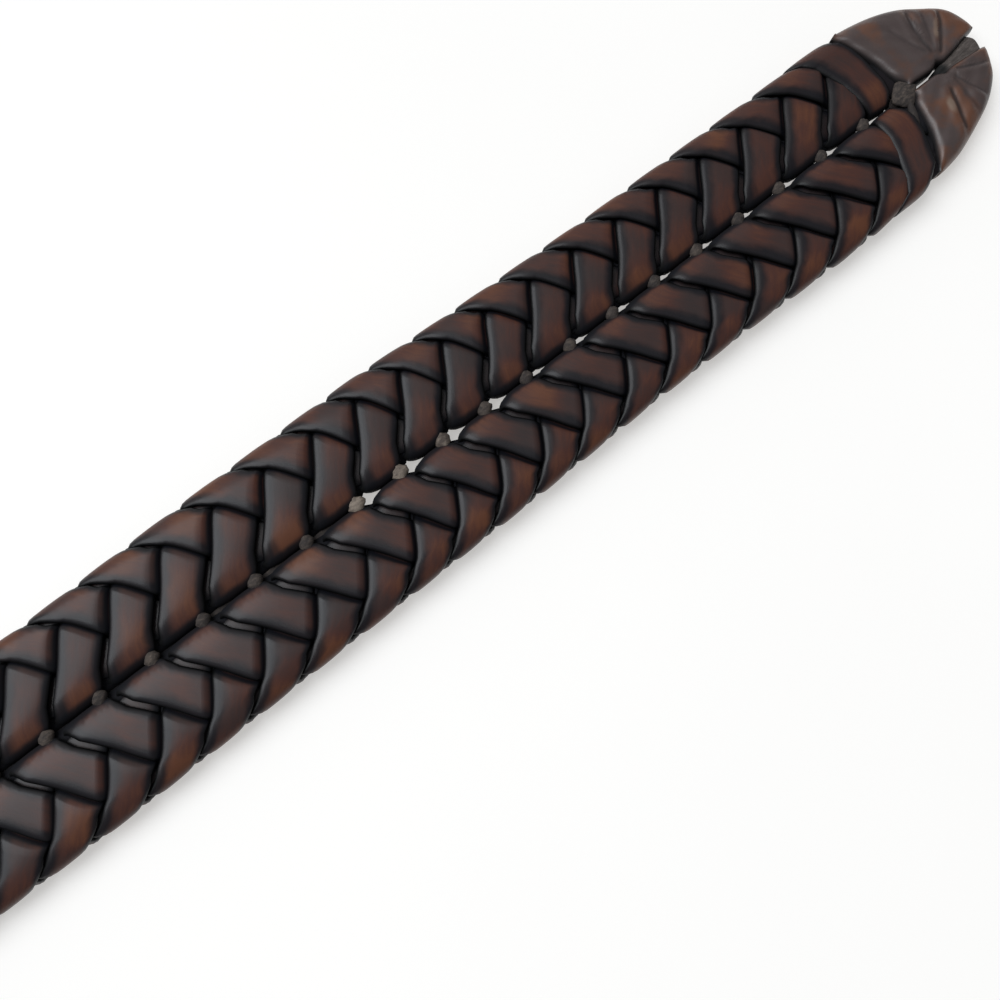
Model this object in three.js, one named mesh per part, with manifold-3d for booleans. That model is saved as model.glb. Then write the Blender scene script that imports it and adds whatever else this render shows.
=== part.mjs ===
// Braided leather belt, lying straight and face up, with the tip towards +X and the buckle at -X.
// Millimetres, +Z up. The origin is under the middle of the belt, on the surface that it lies on.
import * as THREE from 'three';
import * as BufferGeometryUtils from 'three/addons/utils/BufferGeometryUtils.js';
import Module from 'manifold-3d';

// Clearance between pieces that touch
const clearance = 0.3;

// Braid: two flattened tubes of straps side by side, joined by a lace along the middle
const beltWidth = 35;
const braidThickness = 6.2;
const creviceDepth = 0.9;
const backCreviceShare = 0.6;
const crestShare = 0.7;
const edgeScallop = 0.45;
const strapPitch = 10;
const plainRows = 71;
const crossingGap = 0.3;
const laceHalfLength = 1.5;
const laceHalfWidth = 1.3;
const laceThickness = 1.0;
const laceBelowFace = 1.9;

// Rows of straps behind the tip: how far apart they are, and the gap that opens between the tubes there,
// as shares of the usual pitch
const tipRows = [
  { rows: 3, pitchShare: 1.06, gapShare: 0.09 },
  { rows: 3, pitchShare: 1.00, gapShare: 0.07 },
  { rows: 3, pitchShare: 0.98, gapShare: 0.08 },
  { rows: 4, pitchShare: 0.92, gapShare: 0.18 },
  { rows: 3, pitchShare: 1.05, gapShare: 0.08 },
  { rows: 4, pitchShare: 1.01, gapShare: 0.06 },
];
const plainGapShare = 0.06;

// Section of one tube: place across it, lead of the crossed straps there, lag of the last strap,
// and heights of its face and back
const tubeSection = [
  { across: 0.00, lead: 0.00, lag: 0.00, face: 0.50, back: 0.50 },
  { across: 0.10, lead: 0.16, lag: 0.05, face: 0.86, back: 0.16 },
  { across: 0.50, lead: 0.47, lag: 0.12, face: 1.00, back: 0.00 },
  { across: 0.86, lead: 0.05, lag: 0.33, face: 0.88, back: 0.12 },
  { across: 1.00, lead: -0.14, lag: 0.42, face: 0.50, back: 0.50 },
];

// Last strap of each tube, which crosses the whole tube before the tip cap
const endBandRear = 8.0;
const endBandFront = 2.2;
const endBandFrontLag = 0.6;
const endBandStep = 5.5;
const endTurnStep = 0.6;
const endTurnRow = 0.15;
const endCoreThickness = 3.6;
const endCoreInset = 1.0;
const endCrevice = 0.8;
const lastLaceHalfLength = 2.2;
const lastLaceHalfWidth = 2.4;

// Tip caps: two padded lobes gathered in pleats round an eye, with the folded inner layer between them
const tipLength = 21.3;
const capSetback = 6.0;
const leftCapRoundness = 2.1;
const rightCapRoundness = 1.3;
const capInset = 0.2;
const capFullness = 0.97;
const capRimShare = 0.34;
const capRimSpokes = 12;
const capRings = [0.0, 0.2, 0.5, 0.8, 1.0];
const outlinePasses = 40;
const pleatDepth = 0.5;
const eyePlace = 9.7;
const eyeRadius = 0.9;
const eyeDip = 1.0;
const slotHalfWidth = 0.3;
const slotFlare = 1.6;
const wedgeThickness = 2.4;
const wedgeSetback = 0.8;

// Chape: the leather fold that holds the braid's flattened end and the buckle's bar
const chapeWall = 1.8;
const chapeWidth = 34;
const chapeSeam = 6;
const chapeCorner = 6;
const neckThickness = 3.0;
const neckInset = 1.5;
const neckLength = 26;
const neckTaper = 8;

// Buckle: a plain frame with its prong resting on the far bar
const buckleInnerWidth = 37.5;
const buckleInnerLength = 30;
const buckleBar = 4.0;
const buckleBevel = 1.1;
const buckleCorner = 6;
const cornerSides = 4;
const prongRadius = 1.5;
const prongEyeRadius = 3.4;
const prongSlotWidth = 8;
const prongSlotLength = 9;
const prongSetback = 0.5;
const prongSideRoom = 1.0;
const roundSides = 20;

const wasm = await Module();
wasm.setup();

function solidFrom(geometry) {
  const bare = geometry.index ? geometry.toNonIndexed() : geometry.clone();
  bare.deleteAttribute('normal');
  bare.deleteAttribute('uv');
  const merged = BufferGeometryUtils.mergeVertices(bare);
  return new wasm.Manifold(new wasm.Mesh({
    numProp: 3,
    vertProperties: new Float32Array(merged.attributes.position.array),
    triVerts: new Uint32Array(merged.index.array),
  }));
}

function geometryFrom(solid) {
  const mesh = solid.getMesh();
  const geometry = new THREE.BufferGeometry();
  geometry.setAttribute('position', new THREE.BufferAttribute(new Float32Array(mesh.vertProperties), 3));
  geometry.setIndex(new THREE.BufferAttribute(new Uint32Array(mesh.triVerts), 1));
  geometry.computeVertexNormals();
  return geometry;
}

function signedVolume(points, triangles) {
  let sum = 0;
  for (const [a, b, c] of triangles) {
    sum += points[a].dot(new THREE.Vector3().crossVectors(points[b], points[c])) / 6;
  }
  return sum;
}

function closedGeometry(points, triangles) {
  const outward = signedVolume(points, triangles) > 0;
  const geometry = new THREE.BufferGeometry();
  geometry.setAttribute('position', new THREE.Float32BufferAttribute(points.flatMap((p) => p.toArray()), 3));
  geometry.setIndex(triangles.flatMap(([a, b, c]) => (outward ? [a, b, c] : [a, c, b])));
  geometry.computeVertexNormals();
  return geometry;
}

function mirroredAcross(geometry) {
  const mirrored = geometry.clone().scale(1, -1, 1);
  const index = mirrored.index.array;
  for (let i = 0; i < index.length; i += 3) {
    [index[i + 1], index[i + 2]] = [index[i + 2], index[i + 1]];
  }
  mirrored.computeVertexNormals();
  return mirrored;
}

// Places along the belt, measured towards the buckle from the last crossing of the lace at the tip
function crossingPlaces() {
  const crossings = [{ place: 0, gapWidth: strapPitch * tipRows[0].gapShare }];
  const addRow = (pitchShare, gapShare) => {
    const place = crossings[crossings.length - 1].place + strapPitch * pitchShare;
    crossings.push({ place, gapWidth: strapPitch * gapShare });
  };
  for (const stretch of tipRows) {
    for (let row = 0; row < stretch.rows; row += 1) {
      addRow(stretch.pitchShare, stretch.gapShare);
    }
  }
  for (let row = 0; row < plainRows; row += 1) {
    addRow(1, plainGapShare);
  }
  return crossings;
}

const halfWidth = beltWidth / 2;
const midHeight = braidThickness / 2;
const crossings = crossingPlaces();
const braidEnd = crossings[crossings.length - 1].place;
const mouthPlace = braidEnd + neckTaper;
const neckEnd = mouthPlace + neckLength;
const loopInnerRadius = Math.hypot(buckleBar / 2, buckleBar / 2 - buckleBevel) + clearance;
const loopOuterRadius = loopInnerRadius + chapeWall;
const barPlace = neckEnd + clearance + chapeSeam + loopInnerRadius;
const buckleEnd = barPlace + buckleInnerLength + 1.5 * buckleBar;
const beltLength = tipLength + buckleEnd;
const lastCrossingX = beltLength / 2 - tipLength;
const barX = lastCrossingX - barPlace;
const barHeight = loopOuterRadius;
const capRearCentre = lastLaceHalfLength + clearance;
const outerLag = tubeSection[tubeSection.length - 1].lag * halfWidth;
const capRearOuter = endCrevice + clearance - endBandFront - endBandFrontLag * outerLag;
const capRearLag = (capRearCentre - capRearOuter) / outerLag;

// One closed outline round a tube: a row of straps with its crevice, crest or flattened neck
function tubeRing({ place, crevice, innerGap, slant = 0, lagShare = 1, straight = 0,
  thickness = braidThickness, rise = 0, inset = 0 }) {
  const tubeWidth = halfWidth - inset - innerGap / 2;
  const pointAt = (row, height, isFace) => {
    const chevron = row.lead * halfWidth * (1 - slant);
    const lean = -row.lag * halfWidth * lagShare * slant;
    const sunk = crevice * creviceDepth * (2 * height - 1);
    const scallop = crevice * edgeScallop * row.across;
    const x = lastCrossingX - place + (chevron + lean) * (1 - straight);
    const y = innerGap / 2 + row.across * tubeWidth - scallop;
    return new THREE.Vector3(x, y, rise + height * thickness - sunk * (isFace ? 1 : backCreviceShare));
  };
  const face = tubeSection.map((row) => pointAt(row, row.face, true));
  const back = tubeSection.slice(1, -1).reverse().map((row) => pointAt(row, row.back, false));
  return [...face, ...back];
}

function tubeRings() {
  const coreFront = { place: clearance - capRearCentre, crevice: 0, innerGap: crossingGap, slant: 1,
    lagShare: capRearLag, thickness: endCoreThickness,
    rise: (braidThickness - endCoreThickness) / 2, inset: endCoreInset };
  const bandFront = { place: endBandFront, crevice: 1, innerGap: crossingGap, slant: 1,
    lagShare: endBandFrontLag };
  const bandCrest = { place: (endBandFront + endBandRear) / 2, crevice: 0, innerGap: crossings[0].gapWidth,
    slant: 1 };
  const bandRear = { place: endBandRear, crevice: 1, innerGap: crossingGap, slant: 1 };
  const bandStep = { place: endBandRear + endBandStep, crevice: 0, innerGap: crossings[0].gapWidth,
    slant: endTurnStep };
  const rings = [coreFront, bandFront, bandCrest, bandRear, bandStep];
  for (let row = 2; row < crossings.length; row += 1) {
    const here = crossings[row];
    rings.push({ place: here.place, crevice: 1, innerGap: crossingGap, slant: row === 2 ? endTurnRow : 0 });
    if (row + 1 < crossings.length) {
      const next = crossings[row + 1];
      const crestPlace = here.place + crestShare * (next.place - here.place);
      rings.push({ place: crestPlace, crevice: 0, innerGap: next.gapWidth });
    }
  }
  const neck = { crevice: 0, innerGap: crossingGap, straight: 1, thickness: neckThickness,
    rise: chapeWall + clearance, inset: (beltWidth - chapeWidth) / 2 + neckInset };
  rings.push({ ...neck, place: mouthPlace - clearance });
  rings.push({ ...neck, place: neckEnd });
  return rings.map(tubeRing);
}

function loftedTube(rings) {
  const count = rings[0].length;
  const points = rings.flat();
  const triangles = [];
  for (let r = 0; r + 1 < rings.length; r += 1) {
    for (let i = 0; i < count; i += 1) {
      const a = r * count + i;
      const b = r * count + ((i + 1) % count);
      triangles.push([a, b, b + count], [a, b + count, a + count]);
    }
  }
  // The ends are closed between the face and the back, from the inner edge to the outer one
  const zigzag = [0];
  for (let i = 1; i < count / 2; i += 1) {
    zigzag.push(i, count - i);
  }
  zigzag.push(count / 2);
  const lastRing = (rings.length - 1) * count;
  for (let i = 0; i + 2 < count; i += 1) {
    const corners = zigzag.slice(i, i + 3);
    const [a, b, c] = i % 2 === 0 ? corners : [corners[0], corners[2], corners[1]];
    triangles.push([c, b, a], [lastRing + a, lastRing + b, lastRing + c]);
  }
  return closedGeometry(points, triangles);
}

// A lozenge of lace that joins the two tubes at a crossing
function laceCrossing(place, halfLength, halfWidthThere) {
  const outline = new THREE.Shape([
    new THREE.Vector2(-halfLength, 0),
    new THREE.Vector2(0, -halfWidthThere),
    new THREE.Vector2(halfLength, 0),
    new THREE.Vector2(0, halfWidthThere),
  ]);
  const lozenge = new THREE.ExtrudeGeometry(outline, { depth: laceThickness, bevelEnabled: false });
  lozenge.translate(lastCrossingX - place, 0, braidThickness - laceBelowFace - laceThickness);
  return solidFrom(lozenge);
}

function braidGeometry() {
  const leftTube = loftedTube(tubeRings());
  let braid = solidFrom(leftTube).add(solidFrom(mirroredAcross(leftTube)));
  const laces = crossings.slice(1).map(({ place }) => laceCrossing(place, laceHalfLength, laceHalfWidth));
  laces.push(laceCrossing(0, lastLaceHalfLength, lastLaceHalfWidth));
  for (const lace of laces) {
    braid = braid.add(lace);
  }
  return geometryFrom(braid);
}

// Plan outline of the tip: 0 along its middle line, 1 at the rim
function rimLevel(x, y, roundness) {
  const along = Math.max(0, (x + capSetback) / (tipLength + capSetback));
  return along ** roundness + (y / (halfWidth - capInset)) ** 2;
}

// Rear edge of a cap, which runs beside the last strap
function capRearAt(y) {
  const across = y / halfWidth;
  const next = tubeSection.findIndex((row) => row.across >= across);
  const [inner, outer] = [tubeSection[Math.max(0, next - 1)], tubeSection[Math.max(1, next)]];
  const share = (across - inner.across) / (outer.across - inner.across);
  return capRearCentre - (inner.lag + (outer.lag - inner.lag) * share) * halfWidth * capRearLag;
}

function capReach(angle, roundness) {
  let inside = eyeRadius;
  let outside = tipLength + beltWidth;
  for (let pass = 0; pass < outlinePasses; pass += 1) {
    const middle = (inside + outside) / 2;
    const x = eyePlace + middle * Math.cos(angle);
    const y = slotHalfWidth + middle * Math.sin(angle);
    const within = y < halfWidth && rimLevel(x, y, roundness) < 1 && x > capRearAt(y);
    [inside, outside] = within ? [middle, outside] : [inside, middle];
  }
  return inside;
}

// One lobe of the tip: a grid of spokes round the eye, with a pleat on every second spoke
function capGeometry(roundness) {
  const cornerAngle = Math.atan2(halfWidth - capInset - slotHalfWidth, capRearOuter - eyePlace);
  const slotAngle = Math.atan2(slotFlare - slotHalfWidth, tipLength - eyePlace);
  const angles = [];
  for (let i = 0; i <= capRimSpokes; i += 1) {
    angles.push(slotAngle + (cornerAngle - slotAngle) * i / capRimSpokes);
  }
  for (const row of tubeSection.slice(1, -1).reverse()) {
    const y = row.across * halfWidth;
    angles.push(Math.atan2(y - slotHalfWidth, capRearAt(y) - eyePlace));
  }
  angles.push(Math.PI);
  const points = [];
  for (const side of [1, -1]) {
    angles.forEach((angle, spoke) => {
      const reach = capReach(angle, roundness) - eyeRadius;
      for (const share of capRings) {
        const radius = eyeRadius + reach * share;
        const x = eyePlace + radius * Math.cos(angle);
        const y = slotHalfWidth + radius * Math.sin(angle);
        const level = Math.min(1, rimLevel(x, y, roundness));
        const dome = capRimShare + (1 - capRimShare) * Math.sqrt(1 - level * level);
        const fold = spoke % 2 === 0 && spoke <= capRimSpokes ? 4 * share * (1 - share) * pleatDepth : 0;
        const dip = eyeDip * (1 - share) ** 2;
        const height = midHeight * dome * capFullness - fold - dip;
        points.push(new THREE.Vector3(lastCrossingX + x, y, midHeight + side * height));
      }
    });
  }
  const rings = capRings.length;
  const backStart = angles.length * rings;
  const triangles = [];
  const addQuad = (a, b, c, d) => triangles.push([a, b, c], [a, c, d]);
  for (let spoke = 0; spoke + 1 < angles.length; spoke += 1) {
    const a = spoke * rings;
    const b = a + rings;
    for (let ring = 0; ring + 1 < rings; ring += 1) {
      addQuad(a + ring, a + ring + 1, b + ring + 1, b + ring);
      addQuad(backStart + a + ring, backStart + b + ring, backStart + b + ring + 1, backStart + a + ring + 1);
    }
    const rim = rings - 1;
    addQuad(a + rim, backStart + a + rim, backStart + b + rim, b + rim);
    addQuad(b, backStart + b, backStart + a, a);
  }
  const lastSpoke = (angles.length - 1) * rings;
  for (let ring = 0; ring + 1 < rings; ring += 1) {
    addQuad(ring, backStart + ring, backStart + ring + 1, ring + 1);
    const c = lastSpoke + ring;
    addQuad(c + 1, backStart + c + 1, backStart + c, c);
  }
  return closedGeometry(points, triangles);
}

// The folded inner layer that shows between the two lobes, from the eye to the rim
function wedgeGeometry() {
  const flare = (slotFlare - slotHalfWidth) / (tipLength - eyePlace);
  const rear = eyePlace + eyeRadius + clearance / flare;
  const front = tipLength - wedgeSetback;
  const halfAt = (place) => (place - eyePlace) * flare + slotHalfWidth - clearance;
  const outline = new THREE.Shape([
    new THREE.Vector2(lastCrossingX + rear, -halfAt(rear)),
    new THREE.Vector2(lastCrossingX + front, -halfAt(front)),
    new THREE.Vector2(lastCrossingX + front, halfAt(front)),
    new THREE.Vector2(lastCrossingX + rear, halfAt(rear)),
  ]);
  const wedge = new THREE.ExtrudeGeometry(outline, { depth: wedgeThickness, bevelEnabled: false });
  return wedge.translate(0, 0, midHeight - wedgeThickness / 2);
}

function chapeGeometry() {
  const mouthX = lastCrossingX - mouthPlace;
  const mouthTop = 2 * chapeWall + neckThickness + 2 * clearance;
  const slopeX = barX + 2 * loopOuterRadius;
  const profile = new THREE.Shape();
  profile.moveTo(mouthX, 0);
  profile.lineTo(mouthX, chapeWall);
  profile.lineTo(barX, chapeWall);
  profile.absarc(barX, barHeight, loopInnerRadius, -Math.PI / 2, Math.PI / 2, true);
  profile.lineTo(slopeX, mouthTop - chapeWall);
  profile.lineTo(mouthX, mouthTop - chapeWall);
  profile.lineTo(mouthX, mouthTop);
  profile.lineTo(slopeX, mouthTop);
  profile.lineTo(barX, barHeight + loopOuterRadius);
  profile.absarc(barX, barHeight, loopOuterRadius, Math.PI / 2, -Math.PI / 2, false);
  profile.lineTo(mouthX, 0);
  const fold = new THREE.ExtrudeGeometry(profile, {
    depth: chapeWidth, bevelEnabled: false, curveSegments: roundSides / 2,
  });
  fold.rotateX(Math.PI / 2).translate(0, chapeWidth / 2, 0);
  const foldHeight = barHeight + loopOuterRadius;
  const loopX = barX - 2 * loopOuterRadius;
  const plan = new THREE.Shape([
    new THREE.Vector2(loopX, -chapeWidth / 2),
    new THREE.Vector2(mouthX - chapeCorner, -chapeWidth / 2),
    new THREE.Vector2(mouthX, -chapeWidth / 2 + chapeCorner),
    new THREE.Vector2(mouthX, chapeWidth / 2 - chapeCorner),
    new THREE.Vector2(mouthX - chapeCorner, chapeWidth / 2),
    new THREE.Vector2(loopX, chapeWidth / 2),
  ]);
  const trim = new THREE.ExtrudeGeometry(plan, { depth: 2 * foldHeight, bevelEnabled: false });
  trim.translate(0, 0, -foldHeight / 2);
  const slot = new THREE.BoxGeometry(prongSlotLength + loopOuterRadius, prongSlotWidth, 2 * foldHeight);
  slot.translate(barX + (prongSlotLength - loopOuterRadius) / 2 - clearance, 0, barHeight);
  return geometryFrom(solidFrom(fold).intersect(solidFrom(trim)).subtract(solidFrom(slot)));
}

function roundedRectangle(path, length, width, radius) {
  const x = length / 2;
  const y = width / 2;
  path.moveTo(x - radius, -y);
  path.absarc(x - radius, -y + radius, radius, -Math.PI / 2, 0, false);
  path.absarc(x - radius, y - radius, radius, 0, Math.PI / 2, false);
  path.absarc(-x + radius, y - radius, radius, Math.PI / 2, Math.PI, false);
  path.absarc(-x + radius, -y + radius, radius, Math.PI, 1.5 * Math.PI, false);
  path.closePath();
  return path;
}

function buckleGeometry() {
  const outer = roundedRectangle(new THREE.Shape(), buckleInnerLength + 2 * buckleBar,
    buckleInnerWidth + 2 * buckleBar, buckleCorner);
  const inner = roundedRectangle(new THREE.Path(), buckleInnerLength,
    buckleInnerWidth, buckleCorner - buckleBar);
  outer.holes.push(inner);
  const frame = new THREE.ExtrudeGeometry(outer, {
    depth: buckleBar - 2 * buckleBevel,
    bevelThickness: buckleBevel,
    bevelSize: buckleBevel,
    bevelOffset: -buckleBevel,
    bevelSegments: 1,
    curveSegments: cornerSides,
  });
  const farBarX = barX - buckleInnerLength - buckleBar;
  frame.translate((barX + farBarX) / 2, 0, barHeight - buckleBar / 2 + buckleBevel);
  const prongEye = new THREE.CylinderGeometry(prongEyeRadius, prongEyeRadius,
    prongSlotWidth - 2 * prongSideRoom, roundSides);
  prongEye.translate(barX, 0, barHeight);
  const root = new THREE.Vector3(barX, 0, barHeight + prongEyeRadius - prongRadius);
  const tipX = farBarX - buckleBar / 2 + prongSetback;
  const tip = new THREE.Vector3(tipX, 0, barHeight + buckleBar / 2 + prongRadius / 2);
  const prong = new THREE.CylinderGeometry(prongRadius, prongRadius, root.distanceTo(tip), roundSides / 2);
  const direction = new THREE.Vector3().subVectors(tip, root).normalize();
  prong.applyQuaternion(new THREE.Quaternion().setFromUnitVectors(new THREE.Vector3(0, 1, 0), direction));
  prong.translate((root.x + tip.x) / 2, 0, (root.z + tip.z) / 2);
  return geometryFrom(solidFrom(frame).add(solidFrom(prongEye)).add(solidFrom(prong)));
}

const strapLeather = { color: 0x4a2418, roughness: 0.42, metalness: 0.0 };
const tipLeather = { color: 0x41231a, roughness: 0.45, metalness: 0.0 };
const innerLeather = { color: 0x6b6259, roughness: 0.85, metalness: 0.0 };
const chapeLeather = { color: 0x3b1d14, roughness: 0.45, metalness: 0.0 };
const darkMetal = { color: 0x4b4a48, roughness: 0.35, metalness: 1.0 };

function addPiece(group, name, geometry, finish) {
  const mesh = new THREE.Mesh(geometry, new THREE.MeshStandardMaterial(finish));
  mesh.name = name;
  group.add(mesh);
}

const belt = new THREE.Group();
addPiece(belt, 'braid', braidGeometry(), strapLeather);
addPiece(belt, 'left_tip_cap', capGeometry(leftCapRoundness), tipLeather);
addPiece(belt, 'right_tip_cap', mirroredAcross(capGeometry(rightCapRoundness)), tipLeather);
addPiece(belt, 'tip_inner_layer', wedgeGeometry(), innerLeather);
addPiece(belt, 'chape', chapeGeometry(), chapeLeather);
addPiece(belt, 'buckle', buckleGeometry(), darkMetal);

export default belt;
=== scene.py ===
import math

import bpy
import numpy as np
from mathutils import Matrix, Vector


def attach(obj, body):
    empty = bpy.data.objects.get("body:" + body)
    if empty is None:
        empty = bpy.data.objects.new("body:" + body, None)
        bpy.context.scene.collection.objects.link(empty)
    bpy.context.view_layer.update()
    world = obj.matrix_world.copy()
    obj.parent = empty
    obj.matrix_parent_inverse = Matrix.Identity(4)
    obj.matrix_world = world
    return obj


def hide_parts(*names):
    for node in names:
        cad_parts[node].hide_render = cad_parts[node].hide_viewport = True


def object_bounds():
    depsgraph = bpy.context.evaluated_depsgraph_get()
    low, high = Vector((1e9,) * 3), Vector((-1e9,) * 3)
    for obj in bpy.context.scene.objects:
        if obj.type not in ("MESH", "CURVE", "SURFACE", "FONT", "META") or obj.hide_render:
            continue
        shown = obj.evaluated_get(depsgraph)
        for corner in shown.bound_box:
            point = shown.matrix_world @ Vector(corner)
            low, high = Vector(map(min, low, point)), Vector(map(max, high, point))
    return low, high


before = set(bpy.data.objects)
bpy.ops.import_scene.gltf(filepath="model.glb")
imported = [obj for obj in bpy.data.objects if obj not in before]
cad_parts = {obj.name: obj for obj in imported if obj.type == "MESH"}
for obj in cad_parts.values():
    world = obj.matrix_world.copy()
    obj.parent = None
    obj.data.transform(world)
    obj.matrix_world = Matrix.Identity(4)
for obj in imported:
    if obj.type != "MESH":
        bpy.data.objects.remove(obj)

cad_low, cad_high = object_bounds()

# Braided leather belt, lying straight and face up, tip towards +X. Sizes are in millimetres.
# Places along the braid are measured from the last crossing of the lace, towards the tip.
# MIDDLE is the height of the plane half way through the braid.
MM = 0.001
HALF_LENGTH = -cad_low.x / MM
TIP_LENGTH = 21.3
LAST_CROSSING = HALF_LENGTH - TIP_LENGTH
MIDDLE = 3.1

# Rows of straps behind the tip: how many, how far apart, and how far the tubes open between them
TIP_ROWS = (
    (3, 10.6, 0.9),
    (3, 10.0, 0.7),
    (3, 9.8, 0.8),
    (4, 9.2, 1.8),
    (3, 10.5, 0.8),
    (4, 10.1, 0.6),
)
PLAIN_ROWS = (71, 10.0, 0.6)

# Tube: a flattened loop of six straps. A turn has six columns of crossings: the inner side, two on the
# face, the outer side, and two on the back
TUBE_CENTRE = 8.875
TUBE_HALF = 7.25
SIDE_RADIUS = 1.5
SQUARENESS = 0.62
FACE_COLUMNS = (7.4, 13.8)
COLUMNS = 6
RISING_OVER = (1, 1, -1, -1, 1, -1)
LIFT = 0.76
EASE = 0.30
LAY_PITCH = 8.1
LAY_ACROSS = 3.2

# Opening between the tubes in each row, by the row's gap: how far the straps stand back, and half the
# width that the dark middles leave. Its start, middle and end are shares of a row ahead of the crossing
LENS_GAPS = (0.6, 0.7, 0.8, 0.9, 1.8)
LENS_DEPTHS = (0.13, 0.20, 0.23, 0.27, 0.62)
SLIT_HALVES = (0.0, 0.40, 0.42, 0.52, 1.30)
LENS_RISE = (-0.13, 0.22)
LENS_FALL = (0.24, 0.36)
ALMOND = (-0.02, 0.66)
SLIT_LEAST = 0.02
ROW_LAG = 0.25
TUBES_CLOSER = 0.14
CLOSED_FROM = 14

# Shape of a tube: its crown, its end that is sunk under the last strap, and its flattened neck
TUBE_REACH = 17.5
CROWN = 0.16
SUNK_START, SUNK_RUN = 0.6, 2.6
SUNK_HEIGHT, SUNK_WIDTH = 0.42, 0.12
NECK_LEAD, NECK_RUN = 2, 8
NECK_HEIGHT, NECK_LIFT, NECK_WIDTH = 0.53, 0.5, 0.115

# Stations along a strap from each column to the next: close together at a dive and round a side
OVER_STATIONS = (
    (0.0, 0.07, 0.14, 0.21, 0.29, 0.38, 0.50, 0.65, 0.82),
    (0.0, 0.18, 0.29, 0.35, 0.40, 0.44, 0.48, 0.52, 0.56, 0.60, 0.65, 0.80),
    (0.0, 0.18, 0.35, 0.50, 0.62, 0.71, 0.79, 0.86, 0.93),
    (0.0, 0.07, 0.14, 0.21, 0.28, 0.35, 0.40, 0.44, 0.48, 0.52, 0.56, 0.60, 0.65, 0.80),
    (0.0, 0.20, 0.34, 0.40, 0.45, 0.50, 0.55, 0.60, 0.66, 0.80),
    (0.0, 0.20, 0.34, 0.40, 0.45, 0.50, 0.55, 0.60, 0.66, 0.74, 0.82, 0.91),
)
UNDER_STATIONS = {0: (0.0, 0.12, 0.25, 0.45, 0.70), 2: (0.0, 0.30, 0.55, 0.75, 0.88)}
# Where the straps end in front, where the neck starts and ends, and the row at which each kind is at column 0
STRAP_END = 1.0
NECK_START = -909.9
NECK_END = -933.0
RISING_START, FALLING_START = -0.36, 0.64


def smooth(t):
    """0 up to t = 0, 1 from t = 1, and an easy rise between them."""
    t = np.clip(t, 0.0, 1.0)
    return t * t * (3 - 2 * t)


def hermite(knots, values, slopes, t):
    """Smooth curve through values at knots, with the slopes given there."""
    knots, values, slopes = map(np.asarray, (knots, values, slopes))
    k = np.clip(np.searchsorted(knots, t, side="right") - 1, 0, len(knots) - 2)
    span = knots[k + 1] - knots[k]
    u = (t - knots[k]) / span
    return (
        values[k] * (1 + 2 * u) * (1 - u) ** 2
        + slopes[k] * span * u * (1 - u) ** 2
        + values[k + 1] * u * u * (3 - 2 * u)
        + slopes[k + 1] * span * u * u * (u - 1)
    )


def curve_through(points, t):
    """A smooth open curve through points, at t from 0 to 1."""
    points = np.asarray(points, float)
    knots = np.linspace(0, 1, len(points))
    slopes = np.gradient(points, knots, axis=0)
    return np.stack([hermite(knots, points[:, i], slopes[:, i], t) for i in range(points.shape[1])], -1)


# Places in the braid: each row's place along, also a few rows past both ends
ROWS_AHEAD, ROWS_BEHIND = 4, 6
row_count = sum(rows for rows, _, _ in TIP_ROWS) + PLAIN_ROWS[0]
row_places = [0.0]
row_gaps = [TIP_ROWS[0][2]]
for rows, pitch, gap in TIP_ROWS + (PLAIN_ROWS,):
    for _ in range(rows):
        row_places.append(row_places[-1] - pitch)
        row_gaps.append(gap)
row_places = np.array(row_places)
row_gaps = np.array(row_gaps)
ROW_NUMBERS = np.concatenate([-np.arange(row_count + ROWS_BEHIND)[::-1], np.arange(1, ROWS_AHEAD)])
ROW_X = np.concatenate([
    (row_places[-1] - PLAIN_ROWS[1] * np.arange(1, ROWS_BEHIND))[::-1],
    row_places[::-1],
    TIP_ROWS[0][1] * np.arange(1, ROWS_AHEAD),
])


def row_to_x(row):
    return np.interp(row, ROW_NUMBERS, ROW_X)


def x_to_row(x):
    return np.interp(x, ROW_X, ROW_NUMBERS)


def opening_at(x):
    """How far x lies ahead of its crossing, as a share of a row, and the gap of that row."""
    row = x_to_row(x)
    number = np.floor(row + ROW_LAG)
    return row - number, np.interp(-number, np.arange(len(row_gaps)), row_gaps)


def gap_at(x):
    """How far a tube's inner side stands back from the middle line: a lens ahead of each crossing."""
    ahead, gap = opening_at(x)
    lens = smooth((ahead - LENS_RISE[0]) / LENS_RISE[1]) * (1 - smooth((ahead - LENS_FALL[0]) / LENS_FALL[1]))
    return np.interp(gap, LENS_GAPS, LENS_DEPTHS) * lens - TUBES_CLOSER


def slit_at(x):
    """Half the width of the opening that the dark middles of the two tubes leave in each row."""
    ahead, gap = opening_at(x)
    almond = np.sin(math.pi * np.clip((ahead - ALMOND[0]) / ALMOND[1], 0, 1))
    return SLIT_LEAST + np.interp(gap, LENS_GAPS, SLIT_HALVES) * almond


# Way round the middle of a tube's wall, from the inner side over the face to the back
SIDE_SHIFTS = (0.6, -0.7)
straight = 2 * (TUBE_HALF - SIDE_RADIUS)
quarter = SIDE_RADIUS * math.pi / 2
flat_start = TUBE_CENTRE - TUBE_HALF + SIDE_RADIUS
face = [quarter + place - flat_start for place in FACE_COLUMNS]
outer_side = 2 * quarter + straight
turn = 2 * outer_side
COLUMN_PLACES = [
    SIDE_SHIFTS[0], face[0], face[1], outer_side + SIDE_SHIFTS[1],
    turn - face[1], turn - face[0], turn + SIDE_SHIFTS[0],
]
steps = np.diff(COLUMN_PLACES)
COLUMN_SLOPES = [
    2 * steps[i - 1] * steps[i % COLUMNS] / (steps[i - 1] + steps[i % COLUMNS]) for i in range(COLUMNS + 1)
]


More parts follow.
